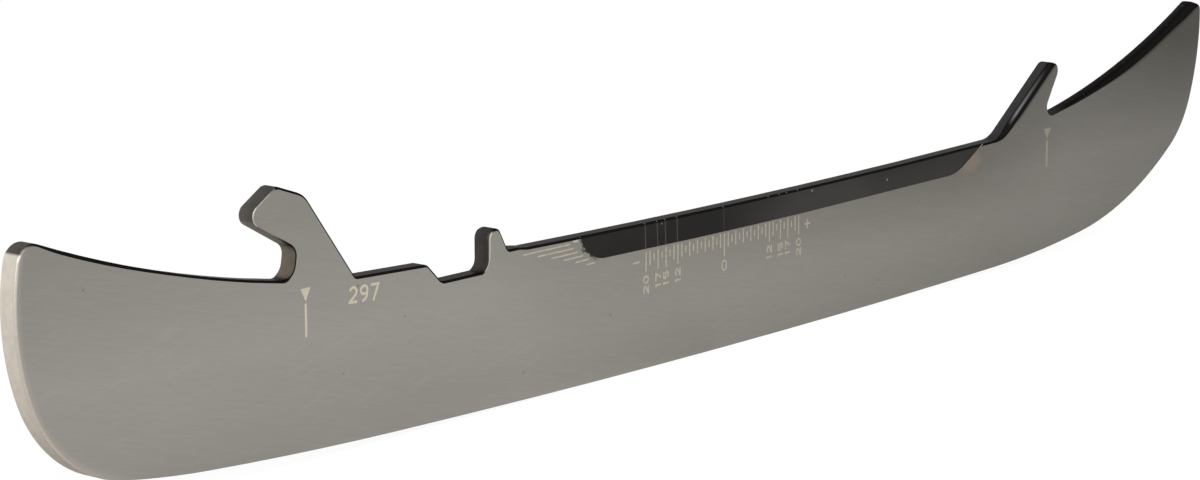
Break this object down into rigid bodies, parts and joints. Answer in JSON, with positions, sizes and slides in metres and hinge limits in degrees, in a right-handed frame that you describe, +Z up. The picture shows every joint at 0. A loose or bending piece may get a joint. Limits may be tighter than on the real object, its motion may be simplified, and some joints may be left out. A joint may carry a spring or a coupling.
{
  "type": "ice hockey skate runner",
  "caption": "Steel runner of an ice hockey skate: a thin curved plate with a rear hook, a latch slot, a front tab and an etched scale on one side.",
  "frame": {"origin": "half-way along the length and across the thickness, level with the lowest point of the running edge", "axes": "+X from the heel to the toe, +Y across the thickness away from the marked side, +Z up from the ice"},
  "size_m": [0.297, 0.0028, 0.0419],
  "materials": {
    "steel": "satin, dark brushed",
    "marking": "matte, pale etched marking"
  },
  "bodies": {
    "root": {"runner_blade": "steel", "scale_short_lines": "marking", "scale_medium_lines": "marking", "scale_long_lines": "marking", "zero_line": "marking", "zero_figure": "marking", "scale_figures_rear": "marking", "scale_figures_front": "marking", "scale_signs": "marking", "stripes": "marking", "length_number": "marking", "heel_pointer": "marking", "toe_pointer": "marking"}
  },
  "joints": []
}
